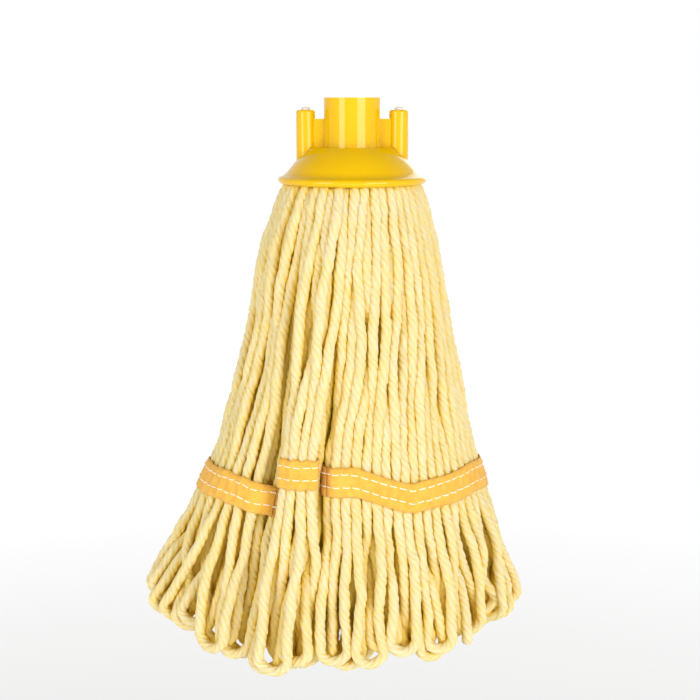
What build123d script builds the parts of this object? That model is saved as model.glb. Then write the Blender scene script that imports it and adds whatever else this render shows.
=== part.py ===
from build123d import *
import math
import os

# Round socket mop head: a moulded socket with a domed skirt, from which looped
# yarn hangs in five sections.  A tie tape is sewn round each section.
# Millimetres.  The origin is the middle of the socket's mouth, +Z points out
# of the mouth, +X to the right and -Y to the front.

# ---- driving dimensions ----
bore_radius = 12.0             # socket for a 23.5 mm handle
tube_radius = 14.0             # outside of the socket tube
bore_depth = 41.0              # mouth to the end of the bore
dome_top = -24.0               # height where the tube meets the dome
skirt_radius = 36.8            # widest radius, at the bead on the skirt's edge
skirt_bottom = -41.6           # underside of the bead
wall = 2.2                     # moulded wall thickness

post_offset = 22.9             # distance from the axis to each side post
post_radius = 4.7
post_top = -5.9
post_bottom = -32.0
peg_radius = 2.2               # pegs pressed up through the hollow posts
peg_top = -4.6
web_top = -10.2
web_thickness = 5.0

bar_thickness = 3.0
bar_width = 8.0
wire_ring_radius = 18.6
wire_radius = 1.0
wire_height = -36.0

yarn_top = -45.0               # where the hanging sections begin
yarn_bottom = -278.0
section_gap = 1.0              # slot between neighbouring sections
tape_width = 14.2
tape_thickness = 1.1
stitch_size = 0.5
stitch_rows = (3.2, 9.4)       # distance of each stitch row below the tape's top edge
clearance = 0.3

# Outline of the hanging yarn at each height: reach to the left, to the right
# and to the front and back, and how thick the outer layer of yarn is there.
yarn_levels = [
    (yarn_top, 34.5, 34.5, 34.5, 10.5),
    (-75.0, 47.0, 43.0, 42.0, 9.0),
    (-116.0, 52.5, 49.5, 47.0, 8.0),
    (-152.0, 63.5, 59.0, 49.0, 7.5),
    (-186.0, 75.0, 67.5, 52.0, 7.5),
    (-223.0, 94.0, 78.5, 57.0, 8.0),
    (yarn_bottom, 113.0, 91.0, 63.0, 9.0),
]

# Each section: first and last bearing in degrees from +X, and the height of
# the middle of its tape.
sections = {
    "right": (-108.0, 5.0, -190.0),
    "rear_right": (5.0, 90.0, -191.0),
    "rear_left": (90.0, 175.0, -191.0),
    "left": (175.0, 228.0, -192.0),
    "front": (228.0, 252.0, -178.5),
}


# ---- moulded socket ----
def dome_half_section():
    """Half section of the tube, dome, beaded skirt and inner collar, beside the axis."""
    shoulder = (19.6, dome_top)
    cone_foot = (31.6, dome_top - 11.2)
    bead_top = (skirt_radius - 1.2, skirt_bottom + 3.5)
    bead_end = (skirt_radius - 1.2, skirt_bottom)
    with BuildSketch(Plane.XZ) as section:
        with BuildLine():
            Polyline((bore_radius, 0), (tube_radius, 0), (tube_radius, dome_top), shoulder)
            ThreePointArc(shoulder, (26.3, dome_top - 5.2), cone_foot)
            ThreePointArc(cone_foot, (33.3, dome_top - 12.9), bead_top)
            ThreePointArc(bead_top, (skirt_radius, skirt_bottom + 1.8), bead_end)
            inner_lip = (bead_end[0] - wall, skirt_bottom)
            inner_foot = (cone_foot[0] - 1.7, cone_foot[1] - 1.7)
            inner_shoulder = (shoulder[0] - 0.9, dome_top - wall)
            Polyline(bead_end, inner_lip, inner_foot)
            ThreePointArc(inner_foot, (25.0, dome_top - 6.9), inner_shoulder)
            collar_radius = tube_radius
            Polyline(
                inner_shoulder,
                (collar_radius, dome_top - wall),
                (collar_radius, -bore_depth),
                (bore_radius, -bore_depth),
                (bore_radius, 0),
            )
        make_face()
    return section.sketch


def upright(radius, bottom, top, x):
    """A vertical cylinder between two heights, standing beside the axis."""
    middle = Location((x, 0, (bottom + top) / 2))
    return middle * Cylinder(radius, top - bottom)


def socket_body():
    body = revolve(dome_half_section(), Axis.Z)
    for side in (-1, 1):
        post = upright(post_radius, post_bottom, post_top, side * post_offset)
        post = fillet(post.edges().group_by(Axis.Z)[-1], 1.2)
        web_length = post_offset - tube_radius + 1.0
        web_height = web_top - dome_top + 1.0
        web_middle = (side * (tube_radius + post_offset - 1.0) / 2, 0, web_top - web_height / 2)
        web = Location(web_middle) * Box(web_length, web_thickness, web_height)
        body = body + post + web
    for side in (-1, 1):
        body = body - upright(peg_radius, post_bottom, post_top, side * post_offset)
    return body - upright(bore_radius, -bore_depth, 0.0, 0.0)


# ---- parts that hold the yarn in the socket ----
def bar_plate(grow=0.0):
    """Round plate with an arm to each peg, closing the socket from below."""
    top = -bore_depth - 0.2
    middle = Location((0, 0, top - bar_thickness / 2))
    plate = middle * Cylinder(tube_radius + grow, bar_thickness + 2 * grow)
    with BuildSketch(Plane.XY) as arms:
        SlotCenterToCenter(2 * post_offset, bar_width + 2 * grow)
    arm_bottom = Location((0, 0, top - bar_thickness - grow))
    return plate + extrude(arm_bottom * arms.sketch, bar_thickness + 2 * grow)


def retaining_bar():
    bar = bar_plate()
    for side in (-1, 1):
        peg = upright(peg_radius, -bore_depth - 1.0, peg_top, side * post_offset)
        bar = bar + fillet(peg.edges().group_by(Axis.Z)[-1], 1.2)
    return bar


def wire_ring():
    return Location((0, 0, wire_height)) * Torus(wire_ring_radius, wire_radius)


def yarn_neck():
    """The packed yarn inside the dome, round the collar and the two pegs."""
    bottom = -bore_depth - 0.2 - bar_thickness
    with BuildSketch(Plane.XZ) as section:
        with BuildLine():
            Polyline(
                (tube_radius + clearance, bottom),
                (tube_radius + clearance, dome_top - wall - 2.0),
                (20.0, dome_top - wall - 2.0),
                (28.0, dome_top - 12.4),
                (skirt_radius - 6.0, skirt_bottom + 0.2),
                (27.5, bottom),
                close=True,
            )
        make_face()
    neck = revolve(section.sketch, Axis.Z)
    neck = neck - bar_plate(clearance) - wire_ring()
    for side in (-1, 1):
        x = side * post_offset
        neck = neck - upright(post_radius + clearance, post_bottom - clearance, dome_top, x)
        neck = neck - upright(peg_radius + clearance, -bore_depth - 1.0, post_bottom, x)
    return neck


# ---- hanging yarn ----
def yarn_outline(z, left, right, depth, inset):
    """Oval outline of the yarn at one height, moved in by inset."""
    width = (left + right) / 2 - inset
    oval = Plane.XY.offset(z) * Location(((right - left) / 2, 0)) * Ellipse(width, depth - inset)
    return oval


def yarn_envelope(outset=0.0, layers=0.0):
    """Solid inside the yarn's outline, moved out by outset, or in by a number of layers."""
    outlines = []
    for z, left, right, depth, layer in yarn_levels:
        outlines.append(yarn_outline(z, left, right, depth, layers * layer - outset))
    return loft(outlines)


def section_wedge(first, last):
    """Tall wedge between two bearings, drawn back from them by half of the gap."""
    reach = 260.0
    middle = math.radians((first + last) / 2)
    half = math.radians((last - first) / 2)
    apex_distance = section_gap / 2 / math.sin(half)
    apex = Vector(math.cos(middle), math.sin(middle)) * apex_distance
    corners = [apex]
    for share in (-1.0, -0.5, 0.5, 1.0):
        bearing = middle + share * half
        corners.append(apex + Vector(math.cos(bearing), math.sin(bearing)) * reach)
    base = Plane.XY.offset(yarn_bottom - 5.0) * make_face(Polyline(*corners, close=True))
    return extrude(base, yarn_top - yarn_bottom + 10.0)


def slab(middle, height):
    """Flat slice through everything at one height."""
    return Location((0, 0, middle)) * Box(400, 400, height)


def solids_of(shape):
    """The shape's solids as one compound, without loose faces."""
    found = shape.solids()
    if len(found) == 1:
        return found[0]
    return Compound(children=found)


def section_parts(name, first, last, tape_z, shells):
    """The yarn, tapes and stitches of one hanging section."""
    wedge = section_wedge(first, last)
    tape_slice = slab(tape_z, tape_width)
    tape_top = tape_z + tape_width / 2
    parts = {
        f"outer_yarn_{name}": shells["outer_yarn"] & wedge,
        f"inner_yarn_{name}": shells["inner_yarn"] & wedge,
        f"outer_tape_{name}": shells["outer_tape"] & wedge & tape_slice,
        f"inner_tape_{name}": shells["inner_tape"] & wedge & tape_slice,
    }
    rows = []
    for drop in stitch_rows:
        rows.extend((shells["stitches"] & wedge & slab(tape_top - drop, stitch_size)).solids())
    parts[f"stitching_{name}"] = Compound(children=rows)
    return parts


def yarn_shells():
    """The full rings from which the sections' yarn, tapes and stitches are cut."""
    outside = yarn_envelope()
    back = yarn_envelope(layers=1.0)
    tape_inside = yarn_envelope(outset=0.1)
    tape_outside = yarn_envelope(outset=0.1 + tape_thickness)
    stitch_outside = yarn_envelope(outset=0.1 + tape_thickness + stitch_size)
    back_tape_outside = yarn_envelope(outset=-0.1, layers=1.0)
    back_tape_inside = yarn_envelope(outset=-0.1 - tape_thickness, layers=1.0)
    core = yarn_envelope(outset=-0.3 - tape_thickness, layers=1.0)
    return {
        "outer_yarn": outside - back,
        "inner_yarn": core,
        "outer_tape": tape_outside - tape_inside,
        "inner_tape": back_tape_outside - back_tape_inside,
        "stitches": stitch_outside - tape_outside,
    }


def main():
    os.makedirs("parts", exist_ok=True)
    pieces = {
        "socket_body": socket_body(),
        "retaining_bar": retaining_bar(),
        "binding_wire": wire_ring(),
        "yarn_neck": yarn_neck(),
    }
    shells = yarn_shells()
    for name, (first, last, tape_z) in sections.items():
        pieces.update(section_parts(name, first, last, tape_z, shells))
    for name, shape in pieces.items():
        export_step(solids_of(shape), f"parts/{name}.step")


main()
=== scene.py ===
import math

import bpy
import numpy as np
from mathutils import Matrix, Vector
from mathutils.kdtree import KDTree


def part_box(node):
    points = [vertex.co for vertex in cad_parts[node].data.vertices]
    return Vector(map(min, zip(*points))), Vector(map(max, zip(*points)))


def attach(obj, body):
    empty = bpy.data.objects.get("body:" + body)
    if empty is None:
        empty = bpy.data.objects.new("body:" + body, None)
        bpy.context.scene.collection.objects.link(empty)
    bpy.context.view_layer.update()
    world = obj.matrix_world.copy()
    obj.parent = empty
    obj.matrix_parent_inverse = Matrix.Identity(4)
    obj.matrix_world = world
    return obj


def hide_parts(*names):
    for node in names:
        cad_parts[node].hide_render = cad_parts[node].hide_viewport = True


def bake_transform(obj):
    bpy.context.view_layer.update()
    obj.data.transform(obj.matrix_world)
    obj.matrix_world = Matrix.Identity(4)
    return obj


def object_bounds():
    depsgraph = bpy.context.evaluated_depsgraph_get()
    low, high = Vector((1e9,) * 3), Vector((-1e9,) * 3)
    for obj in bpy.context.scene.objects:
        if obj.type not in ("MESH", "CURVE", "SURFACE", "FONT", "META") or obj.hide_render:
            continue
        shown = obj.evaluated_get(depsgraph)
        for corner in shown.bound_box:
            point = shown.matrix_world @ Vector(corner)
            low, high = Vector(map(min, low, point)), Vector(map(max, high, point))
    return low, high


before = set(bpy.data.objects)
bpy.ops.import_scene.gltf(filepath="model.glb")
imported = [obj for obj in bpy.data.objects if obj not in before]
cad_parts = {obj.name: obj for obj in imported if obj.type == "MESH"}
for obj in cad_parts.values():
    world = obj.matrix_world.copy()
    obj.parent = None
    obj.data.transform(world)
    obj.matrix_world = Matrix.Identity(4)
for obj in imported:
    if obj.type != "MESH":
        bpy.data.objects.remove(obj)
cad_low, cad_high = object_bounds()

# The mop head hangs down from its handle socket: +Z is up out of the socket's
# mouth, which is the origin, +X is to the right and -Y to the front.

random = np.random.default_rng(7)

# ---- sizes taken from the frame, in metres ----
neck_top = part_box("yarn_neck")[1][2]
yarn_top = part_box("outer_yarn_front")[1][2]
yarn_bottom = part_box("outer_yarn_front")[0][2]

# Outline of the hanging yarn at each height: reach to the left, to the right
# and to the front and back.
outline_levels = np.array([
    (yarn_top + 0.010, 0.0325, 0.0325, 0.0325),
    (yarn_top, 0.0345, 0.0345, 0.0345),
    (-0.075, 0.047, 0.043, 0.042),
    (-0.116, 0.0525, 0.0495, 0.047),
    (-0.152, 0.0635, 0.059, 0.049),
    (-0.186, 0.075, 0.0675, 0.052),
    (-0.223, 0.096, 0.081, 0.057),
    (yarn_bottom, 0.125, 0.094, 0.063),
])

# Each section: first and last bearing in degrees from +X at the tape and at the
# rim, as its strands lean a little; loops in its outer and inner layers; distance
# from each edge to the end strands of its row; how far the row's ends fold in; how
# far the row stands out; how far its inner loops keep from each edge near the tape;
# and the height of its tape's middle on some bearings.
sections = {
    "right": dict(
        first=-108.0, last=5.0, rim=(-90.0, 5.0), outer=11, inner=20,
        margins=(0.0030, 0.0042), folds=(0.005, 0.003), swell=0.0, clefts=(0.004, 0.0),
        tape=(
            (-108, -0.182), (-95, -0.181), (-88, -0.1812),
            (-57, -0.1905), (-20, -0.1863), (5, -0.188),
        ),
    ),
    "rear_right": dict(
        first=5.0, last=90.0, rim=(5.0, 90.0), outer=9, inner=13,
        margins=(0.0042, 0.0042), folds=(0.003, 0.006), swell=0.0, clefts=(0.0, 0.0),
        tape=((5, -0.188), (90, -0.191)),
    ),
    "rear_left": dict(
        first=90.0, last=175.0, rim=(90.0, 175.0), outer=9, inner=13,
        margins=(0.0042, 0.0042), folds=(0.006, 0.003), swell=0.0, clefts=(0.0, 0.0),
        tape=((90, -0.191), (175, -0.189)),
    ),
    "left": dict(
        first=175.0, last=228.0, rim=(175.0, 242.0), outer=5, inner=10,
        margins=(0.0042, 0.0042), folds=(0.003, 0.008), swell=0.0, clefts=(0.0, 0.008),
        tape=((175, -0.1885), (205, -0.1883), (214, -0.1893), (228, -0.196)),
    ),
    "front": dict(
        first=228.0, last=252.0, rim=(242.0, 270.0), outer=2, inner=6,
        margins=(0.0072, 0.0038), folds=(0.0015, 0.0015), swell=0.004, clefts=(0.006, 0.002),
        tape=((228, -0.1773), (252, -0.1773)),
    ),
}

# ---- the yarn ----
yarn_diameter = 0.0050
yarn_radius = yarn_diameter / 2
ply_count = 4
ply_lead = 0.018               # length of yarn in which a ply goes round once
ring_spacing = 0.0013          # distance between the rings of a yarn's mesh
crest_share = 1.07             # the plies' crests stand out to this share of the radius
crinkle = 0.00012              # size of the small waves along the yarn, and their lengths
crinkle_pitches = (0.012, 0.035)

# ---- where the loops hang ----
neck_depth = 0.013             # the yarn starts this far below the neck's top,
neck_taper = 0.002             # and this much nearer to the axis than at the rim
rim_stagger = 0.0040           # two strands in five leave the rim this much deeper
inner_rim_depth = 0.0062       # how much deeper the inner layer lies at the rim
inner_band_depths = (0.0055, 0.0110)   # and at the tape, from least to most
foot_level = 0.02              # height above the bottom where the loops' feet are spaced out
foot_margin = 0.005            # from a section's edge to its end strand at that height
foot_clearance = 0.0006        # from the bottom to the lowest loops
flat_radius = 0.066            # the feet rise beyond this distance from the axis,
foot_slope = 0.38              # by this much for each metre
right_lift = 0.0035            # they also rise by this much between the axis
right_lift_end = 0.03          # and this distance to the right of it
upper_drift = 0.0026           # how far strands wander between the rim and the tape
lower_drift = 0.0018           # and below the tape
fullest_bend = 0.0146          # widest distance between the legs of a loop at its foot
tightest_bend = 0.0136
corner = 0.414                 # tan 22.5 degrees, as the foot is drawn round half an octagon
bend_corners = ((-1.0, corner), (-corner, 1.0), (corner, 1.0), (1.0, corner))

# ---- how the loops settle ----
settling_steps = 60
crowd_push = 1.7               # how hard crowded strands push each other away
evening = 0.35                 # how far each point follows its neighbours
recall = 0.98                  # how much of its drift a point keeps
own_samples = 9                # samples of one loop this near in a row don't crowd
loose_z = -0.11                # below this, strands are pushed almost a diameter apart
loose_gap = 0.97               # as a share of the diameter,
rim_gap = 0.80                 # and at the rim less

# ---- the tapes and their stitches ----
tape_z = -0.186                # about where the tapes are
tape_thickness = 0.0011
tape_width = 0.0142
tape_gap = 0.0002              # between a tape and the strands it holds
tape_hold = 0.012              # the tape keeps the strands straight this far above and below
fold_reach = 0.0045            # how far from a section's end strands the fold reaches
row_samples = 160              # points along each side of a tape, and round each of its ends
turn_samples = 10
stitch_drops = (0.0032, 0.0094)    # distance of each row of stitches below the tape's top edge
stitch_length = 0.0040
stitch_pitch = 0.0050
thread_radius = 0.00028
thread_sides = 8

# Shares of the way down from the rim to the tape, and from the tape to where
# a loop begins to turn, at which the yarn's route has points.
upper_shares = (0.10, 0.23, 0.37, 0.51, 0.65, 0.78, 0.90)
lower_shares = (0.20, 0.40, 0.60, 0.80, 1.0)
tape_index = 2 + len(upper_shares) + 1     # place of the tape's own point in a strand's route


# ---- shared shape functions ----
def smooth(t):
    t = np.clip(t, 0.0, 1.0)
    return t * t * (3 - 2 * t)


def outline_at(z):
    """Reach to the left, right and front of the yarn's outline at heights z."""
    heights = outline_levels[::-1, 0]
    return [np.interp(z, heights, outline_levels[::-1, k]) for k in (1, 2, 3)]


def outline_radius(bearing, z):
    """Distance from the axis to the yarn's outline along a bearing, in radians."""
    left, right, depth = outline_at(z)
    half_width = (left + right) / 2
    centre = (right - left) / 2
    c, s = np.cos(bearing), np.sin(bearing)
    a = (c / half_width) ** 2 + (s / depth) ** 2
    b = -2 * c * centre / half_width**2
    k = (centre / half_width) ** 2 - 1
    return (-b + np.sqrt(b * b - 4 * a * k)) / (2 * a)


def tape_height(name, bearing):
    """Height of the middle of a section's tape on a bearing."""
    places, heights = zip(*sections[name]["tape"])
    return np.interp(np.degrees(bearing), places, heights)


def run_along(places):
    """Distance along a line to each of its places."""
    steps = np.linalg.norm(np.diff(places, axis=0), axis=1)
    return np.concatenate([[0.0], np.cumsum(steps)])


def polar(bearing, radius):
    return np.stack([radius * np.cos(bearing), radius * np.sin(bearing)], axis=-1)


def even_bearings(name, count, heights, margins):
    """Bearings of even places along a section's outline, and their distance from each end."""
    fine = np.radians(np.linspace(sections[name]["first"], sections[name]["last"], 600))
    z = heights(fine)
    run = run_along(polar(fine, outline_radius(fine, z)))
    wanted = np.linspace(margins[0], run[-1] - margins[1], count)
    return np.interp(wanted, run, fine), wanted - wanted[0], wanted[-1] - wanted


def tape_row(name, count):
    """Bearings and insets of even places along the row of strands that a tape holds."""
    facts = sections[name]
    bearing, *from_ends = even_bearings(
        name, count, lambda fine: tape_height(name, fine), facts["margins"]
    )
    fold = 0.0
    for depth, distance in zip(facts["folds"], from_ends):
        fold = fold + depth * np.exp(-((distance / fold_reach) ** 2))
    return bearing, yarn_radius + tape_thickness + fold - facts["swell"]


def tape_place(name, bearing, inset, rise):
    """Places above or below the middle of the tape, along the yarn's flare."""
    middle = tape_height(name, bearing)
    above = outline_radius(bearing, middle + tape_hold)
    below = outline_radius(bearing, middle - tape_hold)
    radius = (above + below) / 2 + (above - below) / (2 * tape_hold) * rise - inset
    flat = polar(bearing, radius)
    return np.concatenate([flat, (middle + rise)[..., None]], axis=-1)


# ---- routes of the yarn ----
def loop_pairs(count):
    """Which two strands of a row make each loop, and whether the loop lies in front."""
    patterns = {
        2: [(0, 2, True), (1, 3, False)],
        3: [(0, 2, True), (1, 4, False), (3, 5, True)],
    }
    pairs = []
    start, left = 0, count
    while left:
        size = 3 if left in (3, 5) else 2
        if left > 5:
            size = int(random.integers(2, 4))
        pairs.extend((start + a, start + b, front) for a, b, front in patterns[size])
        start += 2 * size
        left -= size
    return pairs


def foot_height(place, spread):
    """Height of the lowest point of a loop, higher to the right and away from the axis."""
    outward = foot_slope * max(math.hypot(*place) - flat_radius, 0.0)
    to_the_right = right_lift * smooth(place[0] / right_lift_end)
    rise = foot_clearance + outward + to_the_right
    return yarn_bottom + rise + random.uniform(*spread)


def row_places(name, layer):
    """Bearing and inset of each strand of a layer at the rim, the tape and the foot."""
    facts = sections[name]
    count = 2 * facts[layer]
    rim_first, rim_last = np.radians(facts["rim"])
    rim = rim_first + (np.arange(count) + 0.5) / count * (rim_last - rim_first)
    foot = even_bearings(
        name, count, lambda fine: yarn_bottom + foot_level + 0 * fine, (foot_margin, foot_margin)
    )[0]
    band, band_inset = tape_row(name, count)
    rim_inset = yarn_radius + rim_stagger * np.isin(np.arange(count) % 5, (1, 3))
    if layer == "inner":
        rim_inset = rim_inset + inner_rim_depth
        band_inset = band_inset + random.uniform(*inner_band_depths, count)
    return dict(rim=rim, band=band, foot=foot, rim_inset=rim_inset, band_inset=band_inset)


def rim_places(row, i):
    """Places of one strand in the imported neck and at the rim."""
    radius = outline_radius(row["rim"][i], yarn_top) - row["rim_inset"][i]
    neck = [*polar(row["rim"][i], radius - neck_taper), neck_top - neck_depth]
    rim = [*polar(row["rim"][i], radius), yarn_top]
    return [neck, rim]


def upper_places(row, i, top, wave):
    """Places of one strand from the rim down to where the tape holds it."""
    shares = np.array(upper_shares)
    z = yarn_top + shares * (top - yarn_top)
    angle = row["rim"][i] + shares * (row["band"][i] - row["rim"][i])
    depth = row["rim_inset"][i] + smooth(shares) * (row["band_inset"][i] - row["rim_inset"][i])
    slack = (4 * shares * (1 - shares))[:, None]
    drift = slack * np.stack([np.sin(z * 50 + wave[0]), np.sin(z * 75 + wave[1])], axis=1)
    flat = polar(angle, outline_radius(angle, z) - depth) + upper_drift * drift
    return np.concatenate([flat, z[:, None]], axis=1)


def lower_places(row, i, top, leg, turn_z, foot_inset, wave):
    """Places of one strand from the tape down to its leg, where the turn begins."""
    bearing, inset = row["band"][i], row["band_inset"][i]
    shares = np.array(lower_shares)
    z = top + shares * (turn_z - top)
    angle = bearing + shares * (row["foot"][i] - bearing)
    depth = inset + shares * (foot_inset - inset)
    flat = polar(angle, outline_radius(angle, z) - depth)
    flat = flat + (smooth(shares) * shares)[:, None] * (leg - flat[-1])
    drift = np.stack([np.sin(z * 90 + wave[1]), np.sin(z * 70 + wave[0])], axis=1)
    flat = flat + lower_drift * (shares * (1 - shares) * 4)[:, None] * drift
    return np.concatenate([flat, z[:, None]], axis=1)


def strand_route(name, row, i, leg, turn_z, foot_inset):
    """Places that one strand would like to take, from inside the skirt to its turn."""
    bearing, inset = row["band"][i], row["band_inset"][i]
    rises = (tape_hold, 0.0, -tape_hold)
    held = [tape_place(name, bearing, inset, np.array(rise)) for rise in rises]
    wave = random.uniform(0, 2 * math.pi, 2)
    upper = upper_places(row, i, held[0][2], wave)
    lower = lower_places(row, i, held[2][2], leg, turn_z, foot_inset, wave)
    return np.concatenate([rim_places(row, i), upper, held, lower])


def foot_depth(layer, in_front):
    """How deep a loop's foot lies in the mop, and by how much it may be raised."""
    if layer == "inner":
        return 0.006 + 0.018 * random.uniform(0.0, 1.0) ** 2, (0.0, 0.012)
    if in_front:
        return yarn_radius + random.uniform(0.0006, 0.0018), (0.001, 0.007)
    return yarn_radius + random.uniform(0.0052, 0.0064), (0.0, 0.003)


def leg_reach(middle, across, half):
    """From the middle of a loop's foot to one of its legs."""
    # loops at the far left and right turn to face the front
    facing = smooth((abs(math.cos(middle)) - 0.80) / 0.15)
    across = (1 - facing) * across + facing * np.array([random.choice((-1.0, 1.0)), 0.0])
    across = across + random.normal(0.0, 0.2, 2)
    return half * across / np.linalg.norm(across)


def loop_targets(name, layer, row, pair):
    """Places that a whole loop would like to take: down one strand, round and up the other."""
    a, b, in_front = pair
    middle = (row["foot"][a] + row["foot"][b]) / 2
    foot_inset, spread = foot_depth(layer, in_front)
    centre = polar(middle, outline_radius(middle, yarn_bottom + foot_level) - foot_inset)
    foot_z = foot_height(centre, spread)
    ends = []
    for bearing in (row["foot"][a], row["foot"][b]):
        ends.append(polar(bearing, outline_radius(bearing, foot_z) - foot_inset))
    width = np.linalg.norm(ends[1] - ends[0]) * random.uniform(0.75, 1.0)
    half = min(max(width, tightest_bend), fullest_bend) / 2
    turn_z = foot_z + yarn_radius + half
    reach = leg_reach(middle, (ends[1] - ends[0]) / width, half)
    inward = np.array([-math.cos(middle), -math.sin(middle)])
    foot = (ends[0] + ends[1]) / 2 + inward * abs(reach @ inward) + random.normal(0.0, 0.001, 2)
    down = strand_route(name, row, a, foot - reach, turn_z, foot_inset)
    up = strand_route(name, row, b, foot + reach, turn_z, foot_inset)
    bend = [[*(foot + side * reach), turn_z - drop * half] for side, drop in bend_corners]
    return np.concatenate([down, bend, up[::-1]])


def all_targets():
    """The wanted route of every loop, with the section and layer that each belongs to."""
    routes, owners = [], []
    for name in sections:
        for layer in ("outer", "inner"):
            row = row_places(name, layer)
            for pair in loop_pairs(sections[name][layer]):
                routes.append(loop_targets(name, layer, row, pair))
                owners.append((name, layer))
    return np.array(routes), owners


def sample_weights(count, parts):
    """Weights that divide each run between a route's points into even samples."""
    place = np.linspace(0.0, count - 1, (count - 1) * parts + 1)
    low = np.minimum(place.astype(int), count - 2)
    share = place - low
    weights = np.zeros((len(place), count))
    weights[np.arange(len(place)), low] = 1 - share
    weights[np.arange(len(place)), low + 1] += share
    return weights


def crowding(samples):
    """How far each sample has to move to clear the yarn round it."""
    per_loop = samples.shape[1]
    flat = samples.reshape(-1, 3)
    tree = KDTree(len(flat))
    for k, place in enumerate(flat):
        tree.insert(place, k)
    tree.balance()
    pairs = []
    for k, place in enumerate(flat):
        for _, other, _ in tree.find_range(place, yarn_diameter):
            if other > k + own_samples or (other > k and other // per_loop != k // per_loop):
                pairs.append((k, other))
    first, second = np.array(pairs).T
    apart = flat[first] - flat[second]
    distance = np.linalg.norm(apart, axis=1) + 1e-9
    gap = yarn_diameter * np.interp(flat[first, 2], (loose_z, yarn_top), (loose_gap, rim_gap))
    push = apart / distance[:, None] * np.clip(gap - distance, 0.0, None)[:, None] / 2
    moves = np.zeros_like(flat)
    np.add.at(moves, first, push)
    np.add.at(moves, second, -push)
    return moves.reshape(samples.shape)


def section_bearing(places, middle):
    """Bearing of each place, counted on from a section's middle bearing."""
    found = np.arctan2(places[..., 1], places[..., 0])
    return (found - middle + math.pi) % (2 * math.pi) - math.pi + middle


def edge_gap(heights, share, name, layer, cleft):
    """How far a loop's points keep from the edge of their section."""
    gap = (yarn_radius + 0.0003) * smooth(share / 0.8)
    if layer == "inner":
        gap = gap + cleft * np.exp(-(((heights - tape_z) / 0.045) ** 2))
    if name == "front":
        # below its tape this section spreads over its neighbours
        gap = gap - 0.006 * smooth((tape_z - heights) / 0.05)
    return gap


def reach_limit(route, name, layer):
    """How far from the axis a loop's points may lie."""
    facts = sections[name]
    bearing = section_bearing(route, math.radians((facts["first"] + facts["last"]) / 2))
    limit = outline_radius(bearing, route[:, 2]) - yarn_radius + 0.0015 + facts["swell"]
    if layer == "inner":
        row_bearing, row_inset = tape_row(name, 40)
        row_depth = np.interp(bearing, row_bearing, row_inset)
        behind = row_depth + yarn_diameter + tape_thickness + 0.0008
        clear = outline_radius(bearing, route[:, 2]) - behind
        taped = np.abs(route[:, 2] - tape_height(name, bearing)) < tape_hold + 0.001
        limit = np.where(taped, clear, limit)
    return limit


def keep_inside(route, name, layer):
    """Moves a loop's points out of the neighbouring sections, the tapes and the open air."""
    facts = sections[name]
    share = np.clip((yarn_top - route[:, 2]) / (yarn_top - tape_z), 0.0, 1.0)
    edges = (facts["first"], facts["last"])
    for edge, rim_edge, cleft, side in zip(edges, facts["rim"], facts["clefts"], (1, -1)):
        wall = np.radians(rim_edge + share * (edge - rim_edge))
        normal = side * np.stack([-np.sin(wall), np.cos(wall)], axis=1)
        depth = (route[:, :2] * normal).sum(axis=1)
        gap = edge_gap(route[:, 2], share, name, layer, cleft)
        route[:, :2] += np.clip(gap - depth, 0.0, None)[:, None] * normal
    radius = np.hypot(route[:, 0], route[:, 1])
    limit = reach_limit(route, name, layer)
    route[:, :2] *= np.minimum(1.0, limit / np.maximum(radius, 1e-6))[:, None]
    return route


def settle(targets, owners, steps):
    """Moves the loops' points apart where they crowd, and back into their own section."""
    points = targets.copy()
    loops, count, _ = points.shape
    weights = sample_weights(count, 4)
    share = weights.sum(axis=0)[None, :, None]
    # the turn at a loop's foot moves as one, and only its own points change height
    bend = slice(count // 2 - 3, count // 2 + 3)
    legs = np.ones(count, bool)
    legs[count // 2 - 2:count // 2 + 2] = False
    held = np.zeros((loops, count), bool)
    held[:, [0, -1]] = True
    # the tape holds the outer strands in their row
    for loop, (_, layer) in enumerate(owners):
        if layer == "outer":
            for k in (tape_index - 1, tape_index, tape_index + 1):
                held[loop, [k, count - 1 - k]] = True
    for _ in range(steps):
        moves = crowding(np.einsum("sp,lpk->lsk", weights, points))
        points += crowd_push * np.einsum("sp,lsk->lpk", weights, moves) / share
        drift = points - targets
        drift[:, 1:-1] += evening * ((drift[:, :-2] + drift[:, 2:]) / 2 - drift[:, 1:-1])
        drift[:, bend] = drift[:, bend].mean(axis=1, keepdims=True)
        points = targets + recall * drift
        points[:, legs, 2] = targets[:, legs, 2]
        for loop, (name, layer) in enumerate(owners):
            points[loop] = keep_inside(points[loop], name, layer)
        points[held] = targets[held]
    return points


def smooth_lines(routes):
    """The smooth line through each route, as even points one ring apart."""
    curve = bpy.data.curves.new("routes", "CURVE")
    curve.dimensions = "3D"
    curve.resolution_u = 10
    for route in routes:
        spline = curve.splines.new("NURBS")
        spline.points.add(len(route) - 1)
        for point, place in zip(spline.points, route):
            point.co = (*place, 1.0)
        spline.order_u = 3
        spline.use_endpoint_u = True
    holder = bpy.data.objects.new("routes", curve)
    bpy.context.scene.collection.objects.link(holder)
    bpy.context.view_layer.update()
    mesh = bpy.data.meshes.new_from_object(holder)
    found = np.empty(len(mesh.vertices) * 3)
    mesh.vertices.foreach_get("co", found)
    lines = found.reshape(len(routes), -1, 3)
    bpy.data.objects.remove(holder)
    bpy.data.meshes.remove(mesh)
    bpy.data.curves.remove(curve)
    even = []
    for line in lines:
        run = run_along(line)
        wanted = np.linspace(0.0, run[-1], int(run[-1] / ring_spacing) + 1)
        even.append(np.stack([np.interp(wanted, run, line[:, k]) for k in range(3)], axis=1))
    return even


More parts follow.
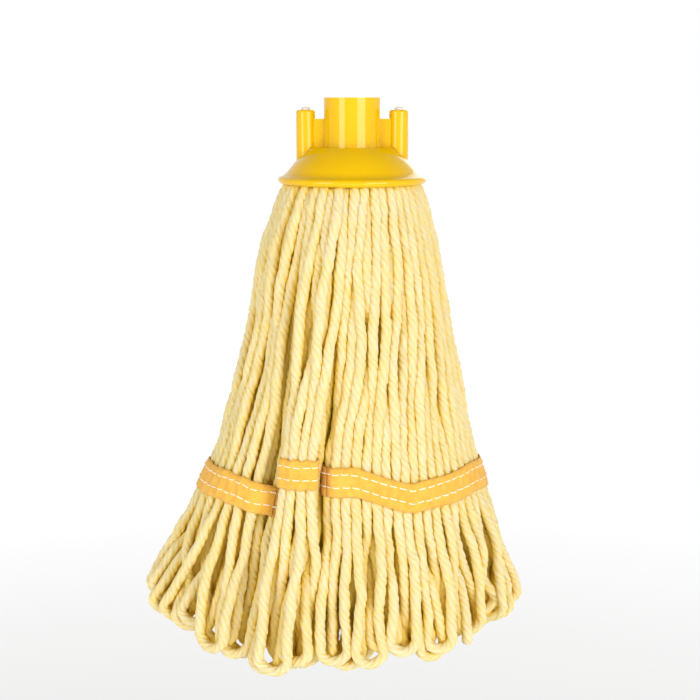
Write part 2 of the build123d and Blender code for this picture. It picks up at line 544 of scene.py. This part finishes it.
def crinkled(line, local):
    """The line with the small waves of soft yarn, none where it enters the skirt."""
    run = ring_spacing * np.arange(len(line))
    side, other = carried_frames(line)
    fade = smooth(np.minimum(run, run[-1] - run) / 0.010)
    for direction in (side, other):
        pitch = local.uniform(*crinkle_pitches, 3)
        phase = local.uniform(0, 2 * math.pi, 3)
        wave = np.sin(2 * math.pi * run[:, None] / pitch + phase).sum(axis=1)
        line = line + (crinkle * fade * wave)[:, None] * direction
    return line


# ---- yarn geometry ----
def carried_frames(line):
    """A pair of side directions carried along a line without twisting."""
    tangent = np.gradient(line, axis=0)
    tangent /= np.linalg.norm(tangent, axis=1)[:, None]
    side = np.cross(tangent[0], (0.31, 0.95, 0.05))
    sides = []
    for t in tangent:
        side = side - t * side.dot(t)
        side = side / math.sqrt(side.dot(side))
        sides.append(side)
    sides = np.array(sides)
    return sides, np.cross(tangent, sides)


def uneven_plies(rings, profile, local):
    """How much fuller or thinner each ply is along the yarn."""
    knots = 1.0 + 0.045 * local.standard_normal((rings // 3 + 2, ply_count))
    rows = np.linspace(0, len(knots) - 1.001, rings)
    low = rows.astype(int)
    share = (rows - low)[:, None]
    per_ply = knots[low] * (1 - share) + knots[low + 1] * share
    return np.repeat(per_ply, len(profile), axis=1)


def plied_tube(line, local):
    """Vertices, attributes and faces of one yarn of twisted plies along a line."""
    # across one ply, from the groove beside it: the radius, and how much it is a groove, which sets
    # how much painted shade it gets
    profile = np.array([0.84, 0.925, 0.98, 1.0, 0.98, 0.925])
    grooves = np.array([1.0, 0.5, 0.1, 0.0, 0.1, 0.5])
    around = ply_count * len(profile)
    side, other = carried_frames(line)
    run = ring_spacing * np.arange(len(line))
    phase = local.uniform(0, 6, 3)
    fullness = 1.0 + 0.06 * np.sin(run * 210 + phase[0]) * np.sin(run * 90 + phase[1])
    plies = np.tile(profile, ply_count) * uneven_plies(len(line), profile, local)
    radius = yarn_radius * crest_share * fullness[:, None] * plies
    turn = -2 * math.pi * run / ply_lead + 0.35 * np.sin(run * 400 + phase[0]) + phase[2]
    angle = turn[:, None] + np.arange(around) / around * 2 * math.pi
    vertices = (
        line[:, None, :]
        + (radius * np.cos(angle))[..., None] * side[:, None, :]
        + (radius * np.sin(angle))[..., None] * other[:, None, :]
    )
    ring = np.arange(around)
    following = (ring + 1) % around
    base = (np.arange(len(line) - 1) * around)[:, None]
    corners = (base + ring, base + following, base + around + following, base + around + ring)
    values = dict(
        groove=np.tile(grooves, (len(line), ply_count)).ravel(),
        around=np.tile(ring / around, len(line)),
        along=np.repeat(run, around),
        shade=np.full(vertices.size // 3, local.uniform(0, 1)),
    )
    return vertices.reshape(-1, 3), np.stack(corners, axis=2).reshape(-1, 4), values


def mesh_from(name, vertices, faces):
    mesh = bpy.data.meshes.new(name)
    mesh.vertices.add(len(vertices))
    mesh.vertices.foreach_set("co", np.asarray(vertices, np.float32).ravel())
    mesh.loops.add(faces.size)
    mesh.loops.foreach_set("vertex_index", faces.ravel().astype(np.int32))
    mesh.polygons.add(len(faces))
    starts = np.arange(len(faces)) * faces.shape[1]
    mesh.polygons.foreach_set("loop_start", starts.astype(np.int32))
    mesh.update(calc_edges=True)
    mesh.shade_smooth()
    return mesh


def add_object(name, mesh, material):
    piece = bpy.data.objects.new(name, mesh)
    bpy.context.scene.collection.objects.link(piece)
    mesh.materials.append(material)
    return piece


def joined_piece(name, parts, material):
    """One mesh of several parts, each with its vertices, faces and attribute values."""
    vertices = np.concatenate([part[0] for part in parts])
    starts = np.cumsum([0] + [len(part[0]) for part in parts[:-1]])
    faces = np.concatenate([part[1] + start for part, start in zip(parts, starts)])
    mesh = mesh_from(name, vertices, faces)
    for key in parts[0][2]:
        attribute = mesh.attributes.new(key, "FLOAT", "POINT")
        values = np.concatenate([part[2][key] for part in parts])
        attribute.data.foreach_set("value", values.astype(np.float32))
    return add_object(name, mesh, material)


# ---- tape and stitch geometry ----
def row_line(name, rise):
    """The line through a section's row of strands at a height on the tape, and its outward side."""
    bearing, inset = tape_row(name, row_samples)
    line = tape_place(name, bearing, inset, np.full(row_samples, rise))
    along = np.gradient(line[:, :2], axis=0)
    along /= np.linalg.norm(along, axis=1)[:, None]
    return line, np.stack([along[:, 1], -along[:, 0]], axis=1)


def band_line(name, rise, offset):
    """Closed line round a section's row of strands at a distance from the row, and its normals."""
    line, outward = row_line(name, rise)
    strands = 2 * sections[name]["outer"]
    # the tape bulges a little over each strand
    ripple = 0.00022 * np.cos(2 * math.pi * np.linspace(0, strands - 1, len(line)))
    reach = (offset + ripple)[:, None]
    turn = np.linspace(0, math.pi, turn_samples + 2)[1:-1]
    places, normals = [], []
    # out along the front and round its end, then back behind and round the other end
    for side, normal in ((line, outward), (line[::-1], -outward[::-1])):
        places.append(np.concatenate([side[:, :2] + normal * reach, side[:, 2:]], axis=1))
        normals.append(normal)
        centre, start = side[-1], normal[-1]
        forward = np.array([-start[1], start[0]])
        normal = np.cos(turn)[:, None] * start + np.sin(turn)[:, None] * forward
        flat = centre[:2] + normal * offset
        places.append(np.concatenate([flat, np.full((len(turn), 1), centre[2])], axis=1))
        normals.append(normal)
    shift = row_samples // 2
    return [np.roll(np.concatenate(rows), shift, axis=0) for rows in (places, normals)]


def tape_mesh(name):
    """Vertices, faces and attribute values of a section's closed tape, and its length."""
    offset = yarn_radius + tape_gap + tape_thickness / 2
    # across the tape, which is thinner at its edges
    rises = np.linspace(-0.5, 0.5, 9) * tape_width
    swell = np.array([0.55, 0.9, 1, 1, 1, 1, 1, 0.9, 0.55]) * tape_thickness / 2
    profile = [(rise, half) for rise, half in zip(rises, swell)]
    profile += [(rise, -half) for rise, half in zip(rises[::-1], swell[::-1])]
    run = run_along(band_line(name, 0.0, offset)[0])
    wave = 0.0003 * np.sin(run * 2 * math.pi * 7 / run[-1])
    columns = []
    for rise, half in profile:
        places, normals = band_line(name, rise, offset)
        places[:, :2] += normals * half
        places[:, 2] += wave
        columns.append(places)
    vertices = np.stack(columns, axis=1)
    rings, around = vertices.shape[:2]
    first = (np.arange(rings) * around)[:, None]
    following = (np.roll(np.arange(rings), -1) * around)[:, None]
    ring = np.arange(around)
    nxt = (ring + 1) % around
    faces = np.stack([first + ring, following + ring, following + nxt, first + nxt], axis=2)
    values = dict(
        along=np.repeat(run, around),
        across=np.tile([rise for rise, _ in profile], rings),
    )
    return (vertices.reshape(-1, 3), faces.reshape(-1, 4), values), float(run[-1])


def stitch_tube(line):
    """Vertices and faces of one stitch along a short line."""
    side, other = carried_frames(line)
    angle = np.arange(thread_sides) / thread_sides * 2 * math.pi
    vertices = (
        line[:, None, :]
        + thread_radius * np.cos(angle)[None, :, None] * side[:, None, :]
        + thread_radius * np.sin(angle)[None, :, None] * other[:, None, :]
    )
    ring = np.arange(thread_sides)
    following = (ring + 1) % thread_sides
    base = (np.arange(len(line) - 1) * thread_sides)[:, None]
    above = base + thread_sides
    faces = np.stack([base + ring, base + following, above + following, above + ring], axis=2)
    return vertices.reshape(-1, 3), faces.reshape(-1, 4), {}


def stitch_tubes(name):
    """Both rows of dashes sewn through the outside of a section's tape."""
    shown = slice((row_samples - turn_samples) // 2, -(row_samples + turn_samples) // 2)
    tubes = []
    for drop in stitch_drops:
        surface = yarn_radius + tape_gap + tape_thickness
        line, outward = [side[shown] for side in band_line(name, tape_width / 2 - drop, surface)]
        run = run_along(line)
        start = random.uniform(0.0, 0.002)
        while start + stitch_length < run[-1]:
            wanted = start + np.linspace(0.0, stitch_length, 9)
            share = np.linspace(-1.0, 1.0, 9)
            # both ends of a stitch dive into the tape
            lift = thread_radius * 0.9 - 0.0010 * np.abs(share) ** 5
            places = np.stack([np.interp(wanted, run, line[:, k]) for k in range(3)], axis=1)
            normal = np.stack([np.interp(wanted, run, outward[:, k]) for k in range(2)], axis=1)
            places[:, :2] += normal * lift[:, None]
            places[:, 2] += random.normal(0.0, 0.00012)
            tubes.append(stitch_tube(places))
            start += stitch_pitch + random.uniform(-0.0003, 0.0003)
    return tubes


# ---- materials ----
class Nodes:
    """Short forms for building a material's nodes."""

    def __init__(self, name, **sockets):
        self.material = bpy.data.materials.new(name)
        self.material.use_nodes = True
        self.tree = self.material.node_tree
        self.shader = self.tree.nodes["Principled BSDF"]
        for socket, value in sockets.items():
            self.shader.inputs[socket.replace("_", " ")].default_value = value

    def add(self, kind, **values):
        node = self.tree.nodes.new(kind)
        for key, value in values.items():
            if key in node.inputs:
                node.inputs[key].default_value = value
            else:
                setattr(node, key, value)
        return node

    def link(self, start, end):
        self.tree.links.new(start, end)

    def feed(self, sockets, values):
        """Sets each socket to a number or links it to an output."""
        for socket, value in zip(sockets, values):
            if isinstance(value, (int, float)):
                socket.default_value = value
            else:
                self.link(value, socket)

    def mix(self, factor, first, second):
        """A colour between two, each a socket or a colour."""
        node = self.add("ShaderNodeMix", data_type="RGBA")
        self.link(factor, node.inputs[0])
        for socket, value in ((node.inputs[6], first), (node.inputs[7], second)):
            if isinstance(value, tuple):
                socket.default_value = (*value, 1.0)
            else:
                self.link(value, socket)
        return node.outputs[2]

    def math(self, operation, *values):
        node = self.add("ShaderNodeMath", operation=operation)
        self.feed(node.inputs, values)
        return node.outputs[0]

    def spread(self, value, low, high, to_low=0.0, to_high=1.0):
        node = self.add("ShaderNodeMapRange")
        self.feed(node.inputs, (value, low, high, to_low, to_high))
        return node.outputs["Result"]

    def attribute(self, name):
        return self.add("ShaderNodeAttribute", attribute_name=name).outputs["Fac"]

    def noise(self, scale, vector=None, detail=3.0):
        node = self.add("ShaderNodeTexNoise", Scale=scale, Detail=detail)
        if vector is None:
            vector = self.add("ShaderNodeTexCoord").outputs["Object"]
        self.link(vector, node.inputs["Vector"])
        return node.outputs["Fac"]

    def vector(self, *values):
        node = self.add("ShaderNodeCombineXYZ")
        self.feed(node.inputs, values)
        return node.outputs[0]

    def openness(self):
        """How open to the light a place is: 0 deep between the strands, 1 on the outside."""
        return self.add("ShaderNodeAmbientOcclusion", samples=4, Distance=0.012).outputs["AO"]

    def bump(self, height, distance, strength=1.0):
        node = self.add("ShaderNodeBump", Strength=strength, Distance=distance)
        self.link(height, node.inputs["Height"])
        self.link(node.outputs["Normal"], self.shader.inputs["Normal"])

    def colour(self, socket):
        self.link(socket, self.shader.inputs["Base Color"])


def yarn_material():
    n = Nodes(
        "mop_yarn", Roughness=0.95, Specular_IOR_Level=0.1, Subsurface_Weight=0.45,
        Subsurface_Radius=(1.0, 1.0, 0.20), Subsurface_Scale=0.004,
    )
    around = n.math("MULTIPLY", n.attribute("around"), 60.0)
    along = n.math("MULTIPLY", n.attribute("along"), 260.0)
    fibre = n.noise(1.0, n.vector(around, along, n.attribute("shade")), 4.0)
    patch = n.spread(n.noise(110.0), 0.35, 0.65)
    tint = n.spread(n.attribute("shade"), 0.0, 1.0, 0.0, 0.45)
    crest = n.mix(patch, (0.62, 0.51, 0.245), (0.64, 0.545, 0.33))
    crest = n.mix(tint, crest, (0.61, 0.49, 0.18))
    crest = n.mix(n.spread(fibre, 0.38, 0.70, 0.0, 0.6), crest, (0.655, 0.58, 0.43))
    # painted shade: a golden colour in the grooves between the plies, stronger in some random
    # patches than in others
    groove_shade_strength = n.spread(n.noise(260.0), 0.35, 0.65, 0.15, 0.60)
    groove = n.math("MULTIPLY", n.attribute("groove"), groove_shade_strength)
    colour = n.mix(groove, crest, (0.69, 0.475, 0.07))
    openness = n.openness()
    # painted shade: golden between the strands where little light reaches, and brown where the least
    # reaches
    colour = n.mix(n.spread(openness, 0.12, 0.75, 0.95, 0.0), colour, (0.90, 0.61, 0.01))
    colour = n.mix(n.spread(openness, 0.0, 0.08, 0.4, 0.0), colour, (0.60, 0.30, 0.015))
    n.colour(colour)
    n.bump(n.math("ADD", n.math("MULTIPLY", fibre, 0.6), n.noise(2600.0)), 0.0004, 0.7)
    return n.material


def packed_yarn_material():
    """The ends of the yarn, packed tight and shaded inside the skirt."""
    n = Nodes("packed_yarn", Roughness=0.95, Specular_IOR_Level=0.1)
    place = n.add("ShaderNodeVectorMath", operation="MULTIPLY")
    n.link(n.add("ShaderNodeTexCoord").outputs["Object"], place.inputs[0])
    place.inputs[1].default_value = (260.0, 260.0, 20.0)
    strands = n.noise(1.0, place.outputs["Vector"])
    n.colour(n.mix(n.spread(strands, 0.35, 0.65), (0.50, 0.28, 0.03), (0.66, 0.44, 0.10)))
    n.bump(strands, 0.001, 0.8)
    return n.material


def tape_material():
    n = Nodes("tie_tape", Roughness=0.8, Sheen_Weight=0.15, Specular_IOR_Level=0.25)
    along = n.attribute("along")
    across = n.attribute("across")
    warp = n.math("SINE", n.math("MULTIPLY", across, 2 * math.pi / 0.0007))
    slant = n.math("ADD", along, n.math("MULTIPLY", across, 0.6))
    weft = n.math("SINE", n.math("MULTIPLY", slant, 2 * math.pi / 0.0009))
    weave = n.math("ADD", n.math("MULTIPLY", warp, 0.35), n.math("MULTIPLY", weft, 0.65))
    colour = n.mix(n.spread(n.noise(300.0), 0.35, 0.65), (0.77, 0.40, 0.045), (0.81, 0.47, 0.070))
    colour = n.mix(n.spread(weave, -1.0, 0.6, 0.5, 0.0), colour, (0.62, 0.27, 0.016))
    openness = n.openness()
    # painted shade: the tape turns a deep brown where little light reaches it
    n.colour(n.mix(n.spread(openness, 0.15, 0.65, 0.9, 0.0), colour, (0.50, 0.14, 0.004)))
    n.bump(n.math("ADD", weave, n.math("MULTIPLY", n.noise(1800.0), 0.5)), 0.0002, 0.8)
    return n.material


def thread_material():
    n = Nodes("sewing_thread", Roughness=0.6, Specular_IOR_Level=0.3)
    fibre = n.noise(3000.0)
    n.colour(n.mix(fibre, (0.80, 0.70, 0.50), (0.90, 0.84, 0.72)))
    n.bump(fibre, 0.0002, 0.5)
    return n.material


def plastic_material(name, dark, light, roughness):
    n = Nodes(name, Specular_IOR_Level=0.22, Coat_Weight=0.12, Coat_Roughness=0.04)
    n.colour(n.mix(n.spread(n.noise(35.0), 0.3, 0.7), dark, light))
    grain = n.math("MULTIPLY", n.noise(900.0), 0.4)
    rough = n.math("ADD", n.noise(60.0), grain)
    n.feed([n.shader.inputs["Roughness"]], [n.spread(rough, 0.4, 1.0, roughness, roughness + 0.08)])
    n.bump(n.math("ADD", n.noise(90.0), n.math("MULTIPLY", grain, 0.25)), 0.0002, 0.2)
    return n.material


def wire_material():
    n = Nodes("galvanised_wire", Metallic=1.0, Roughness=0.4)
    n.colour(n.mix(n.noise(500.0), (0.42, 0.43, 0.44), (0.68, 0.69, 0.70)))
    n.bump(n.noise(2500.0), 0.0001, 0.4)
    return n.material


def dress_node(name, material):
    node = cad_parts[name]
    node.data.materials.clear()
    node.data.materials.append(material)
    node.data.shade_smooth()


# ---- making the pieces ----
def blend_over_hinge(piece):
    """Bakes a piece of yarn's placement into its mesh."""
    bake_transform(piece)


def build_yarn(material):
    """Each outer loop is a cord of its own; a section's inner loops are one piece."""
    targets, owners = all_targets()
    steps = settling_steps
    lines = smooth_lines(settle(targets, owners, steps))
    inner = {name: [] for name in sections}
    made = {name: 0 for name in sections}
    for seed, (line, (name, layer)) in enumerate(zip(lines, owners)):
        local = np.random.default_rng(seed)
        line = crinkled(line, local)
        part = plied_tube(line, local)
        if layer == "inner":
            inner[name].append(part)
            continue
        made[name] += 1
        piece = joined_piece(f"yarn_{name}_{made[name]}", [part], material)
        blend_over_hinge(piece)
        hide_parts(f"outer_yarn_{name}")
    for name, parts in inner.items():
        piece = joined_piece(f"inner_yarn_loops_{name}", parts, material)
        blend_over_hinge(piece)
        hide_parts(f"inner_yarn_{name}")


def build_tapes(tape, thread):
    for name in sections:
        part, length = tape_mesh(name)
        band = joined_piece(f"tie_tape_{name}", [part], tape)
        dashes = joined_piece(f"stitches_{name}", stitch_tubes(name), thread)
        for piece in (band, dashes):
            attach(piece, f"{name}_section")
        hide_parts(f"outer_tape_{name}", f"inner_tape_{name}")
        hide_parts(f"stitching_{name}")


# ---- studio ----
def floor_material():
    """Pale near the object, and further off as bright as the white surroundings."""
    n = Nodes("studio_floor", Roughness=0.9, Specular_IOR_Level=0.1)
    n.colour(n.mix(n.noise(3.0), (0.90, 0.90, 0.89), (0.93, 0.93, 0.92)))
    glow = n.add("ShaderNodeEmission")
    length = n.add("ShaderNodeVectorMath", operation="LENGTH")
    n.link(n.add("ShaderNodeTexCoord").outputs["Object"], length.inputs[0])
    blend = n.add("ShaderNodeMixShader")
    far = n.spread(length.outputs["Value"], 0.1, 1.1)
    n.feed(blend.inputs, (far, n.shader.outputs[0], glow.outputs[0]))
    n.link(blend.outputs[0], n.tree.nodes["Material Output"].inputs["Surface"])
    return n.material


def softbox(name, bearing, height, distance, width, tall, power):
    """A rectangular light, its bearing counted from the front towards the right."""
    light = bpy.data.lights.new(name, "AREA")
    light.shape = "RECTANGLE"
    light.size = width
    light.size_y = tall
    light.energy = power
    lamp = bpy.data.objects.new(name, light)
    bpy.context.scene.collection.objects.link(lamp)
    a = math.radians(bearing)
    lamp.location = (math.sin(a) * distance, -math.cos(a) * distance, height)
    aim = Vector((0, 0, (cad_low[2] + cad_high[2]) / 2)) - lamp.location
    lamp.rotation_euler = aim.to_track_quat("-Z", "Y").to_euler()


def studio():
    half, low = 12.0, cad_low[2] - 0.30
    corners = [(-half, -half, 0), (half, -half, 0), (half, half, 0), (-half, half, 0)]
    mesh = bpy.data.meshes.new("floor")
    mesh.from_pydata(corners, [], [(0, 1, 2, 3)])
    floor = add_object("floor", mesh, floor_material())
    floor.location = (0, 0, low)

    world = bpy.data.worlds.new("studio")
    bpy.context.scene.world = world
    world.use_nodes = True
    tree = world.node_tree
    background = tree.nodes["Background"]
    background.inputs["Color"].default_value = (1.0, 1.0, 1.0, 1.0)
    direction = tree.nodes.new("ShaderNodeSeparateXYZ")
    tree.links.new(tree.nodes.new("ShaderNodeTexCoord").outputs["Generated"], direction.inputs[0])
    ceiling = tree.nodes.new("ShaderNodeMapRange")
    tree.links.new(direction.outputs["Z"], ceiling.inputs["Value"])
    # white from below up to a height of 0.40 in the direction, falling to 0.27 at 0.80
    for socket, number in zip(ceiling.inputs[1:5], (0.40, 0.80, 1.0, 0.27)):
        socket.default_value = number
    tree.links.new(ceiling.outputs["Result"], background.inputs["Strength"])

    softbox("softbox_left", bearing=-42, height=0.15, distance=1.3, width=0.55, tall=0.7, power=7.9)
    softbox("softbox_right", bearing=37, height=0.15, distance=1.3, width=0.80, tall=0.7, power=11.6)
    softbox("softbox_low", bearing=5, height=-0.48, distance=1.2, width=1.0, tall=0.25, power=3.6)
    softbox("softbox_back", bearing=170, height=0.5, distance=1.8, width=1.2, tall=1.2, power=6.0)


def camera():
    """At the height of the socket's mouth, in front of it, aimed at the middle of the mop."""
    side, distance, aim_z = -0.0011, 0.650, -0.1262
    data = bpy.data.cameras.new("camera")
    cam = bpy.data.objects.new("camera", data)
    bpy.context.scene.collection.objects.link(cam)
    bpy.context.scene.camera = cam
    data.sensor_width = 36.0
    data.lens = 66.9
    cam.location = (side, -distance, 0.0)
    aim = Vector((side, 0.0, aim_z)) - cam.location
    cam.rotation_euler = aim.to_track_quat("-Z", "Y").to_euler()


camera()
yarn = yarn_material()
build_yarn(yarn)
build_tapes(tape_material(), thread_material())
yellow = plastic_material("yellow_plastic", (0.625, 0.370, 0.0), (0.66, 0.390, 0.0), 0.08)
natural = plastic_material("natural_plastic", (0.62, 0.55, 0.47), (0.68, 0.62, 0.54), 0.35)
dress_node("socket_body", yellow)
dress_node("retaining_bar", natural)
dress_node("binding_wire", wire_material())
dress_node("yarn_neck", packed_yarn_material())
studio()
bpy.context.scene.view_settings.view_transform = "Standard"
